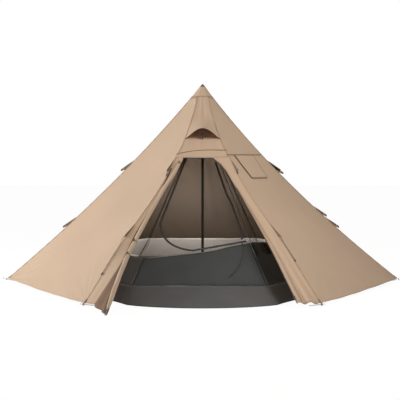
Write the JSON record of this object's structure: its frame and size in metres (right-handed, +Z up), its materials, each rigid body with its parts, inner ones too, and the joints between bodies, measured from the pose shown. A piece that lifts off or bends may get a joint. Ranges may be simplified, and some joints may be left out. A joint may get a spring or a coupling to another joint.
{
  "type": "hot tent",
  "caption": "Six-sided pyramid hot tent on a centre pole, with a rolled-back door, a roof vent, a stove-pipe flap and a mesh inner tent.",
  "frame": {"origin": "on the ground under the centre pole, at the underside of the groundsheet", "axes": "+Z up along the pole, -Y towards the door, +X to the right as seen facing the door"},
  "size_m": [4.1182, 3.9033, 2.04],
  "materials": {
    "canvas": "matt woven cloth",
    "binding": "matt seam tape",
    "cap_cloth": "matt coated cloth",
    "net": "fine mesh",
    "grey_cloth": "matt woven cloth",
    "groundsheet": "coated cloth",
    "fireproof": "woven glass cloth",
    "dark_webbing": "webbing",
    "dark_plastic": "moulded",
    "zip_tape": "coil zip",
    "zip_metal": "painted",
    "pole_steel": "coated steel tube",
    "rubber": "moulded",
    "peg_steel": "plain wire",
    "toggle_wood": "stained"
  },
  "bodies": {
    "tent": {"top_cap": "canvas", "cap_tip": "cap_cloth", "left_front_panel": "canvas", "left_back_panel": "canvas", "back_panel": "canvas", "right_back_panel": "canvas", "right_front_panel": "canvas", "door_strip_left": "canvas", "door_strip_right": "canvas", "door_header": "canvas", "vent_panel": "canvas", "vent_hood": "canvas", "vent_mesh": "net", "stove_jack_patch": "fireproof", "seam_right": "binding", "seam_back_right": "binding", "seam_back_left": "binding", "seam_left": "binding", "seam_front_left": "binding", "seam_front_right": "binding", "door_roll": "canvas", "tie_upper": "toggle_wood", "tie_middle": "toggle_wood", "tie_lower": "toggle_wood", "door_zip": "zip_tape", "groundsheet_tray": "groundsheet", "inner_band_right_back": "grey_cloth", "inner_band_back": "grey_cloth", "inner_band_left_back": "grey_cloth", "inner_band_left_front": "grey_cloth", "inner_band_front": "grey_cloth", "inner_band_right_front": "grey_cloth", "inner_net_right_back": "net", "inner_net_back": "net", "inner_net_left_back": "net", "inner_net_left_front": "net", "inner_net_front": "net", "inner_net_right_front": "net", "inner_zip": "zip_tape", "inner_webbing": "dark_webbing", "pole_lower": "pole_steel", "pole_middle": "pole_steel", "pole_upper": "pole_steel", "pole_foot": "rubber", "pole_plug": "rubber"},
    "vent_prop": {"vent_prop": "dark_plastic"},
    "stove_flap": {"stove_jack_flap": "canvas"},
    "door_slider": {"door_zip_slider": "zip_metal"},
    "inner_door": {"inner_door": "net"},
    "inner_slider": {"inner_zip_slider": "zip_metal"},
    "peg_right": {"peg_right": "peg_steel"},
    "peg_back_right": {"peg_back_right": "peg_steel"},
    "peg_back_left": {"peg_back_left": "peg_steel"},
    "peg_left": {"peg_left": "peg_steel"},
    "peg_front_left": {"peg_front_left": "peg_steel"},
    "peg_front_right": {"peg_front_right": "peg_steel"}
  },
  "joints": [
    {"name": "stove_flap_hinge", "type": "hinge", "parent": "tent", "child": "stove_flap", "pos_m": [0.3916, -0.36152, 1.31105], "axis": [-0.5376, -0.8432, 0], "range_deg": [0, 150]},
    {"name": "vent_prop_hinge", "type": "hinge", "parent": "tent", "child": "vent_prop", "pos_m": [0, -0.50716, 1.56122], "axis": [1, 0, 0], "range_deg": [0, 45]},
    {"name": "inner_door_hinge", "type": "hinge", "parent": "tent", "child": "inner_door", "pos_m": [0.41546, -0.94362, 0.51064], "axis": [0.2795, -0.599, -0.7504], "range_deg": [0, 80]},
    {"name": "door_slider_slide", "type": "slide", "parent": "tent", "child": "door_slider", "axis": [-0.3081, 0.6815, 0.6639], "range_m": [0, 0.2]},
    {"name": "inner_slider_slide", "type": "slide", "parent": "tent", "child": "inner_slider", "axis": [-0.2877, -0.5975, -0.7485], "range_m": [0, 0.65]},
    {"name": "peg_right_slide", "type": "slide", "parent": "tent", "child": "peg_right", "axis": [0.9823, 0, 0.1873], "range_m": [0, 0.15]},
    {"name": "peg_back_right_slide", "type": "slide", "parent": "tent", "child": "peg_back_right", "axis": [0.4911, 0.8507, 0.1873], "range_m": [0, 0.15]},
    {"name": "peg_back_left_slide", "type": "slide", "parent": "tent", "child": "peg_back_left", "axis": [-0.4911, 0.8507, 0.1873], "range_m": [0, 0.15]},
    {"name": "peg_left_slide", "type": "slide", "parent": "tent", "child": "peg_left", "axis": [-0.9823, 0, 0.1873], "range_m": [0, 0.15]},
    {"name": "peg_front_left_slide", "type": "slide", "parent": "tent", "child": "peg_front_left", "axis": [-0.4911, -0.8507, 0.1873], "range_m": [0, 0.15]},
    {"name": "peg_front_right_slide", "type": "slide", "parent": "tent", "child": "peg_front_right", "axis": [0.4911, -0.8507, 0.1873], "range_m": [0, 0.15]}
  ]
}
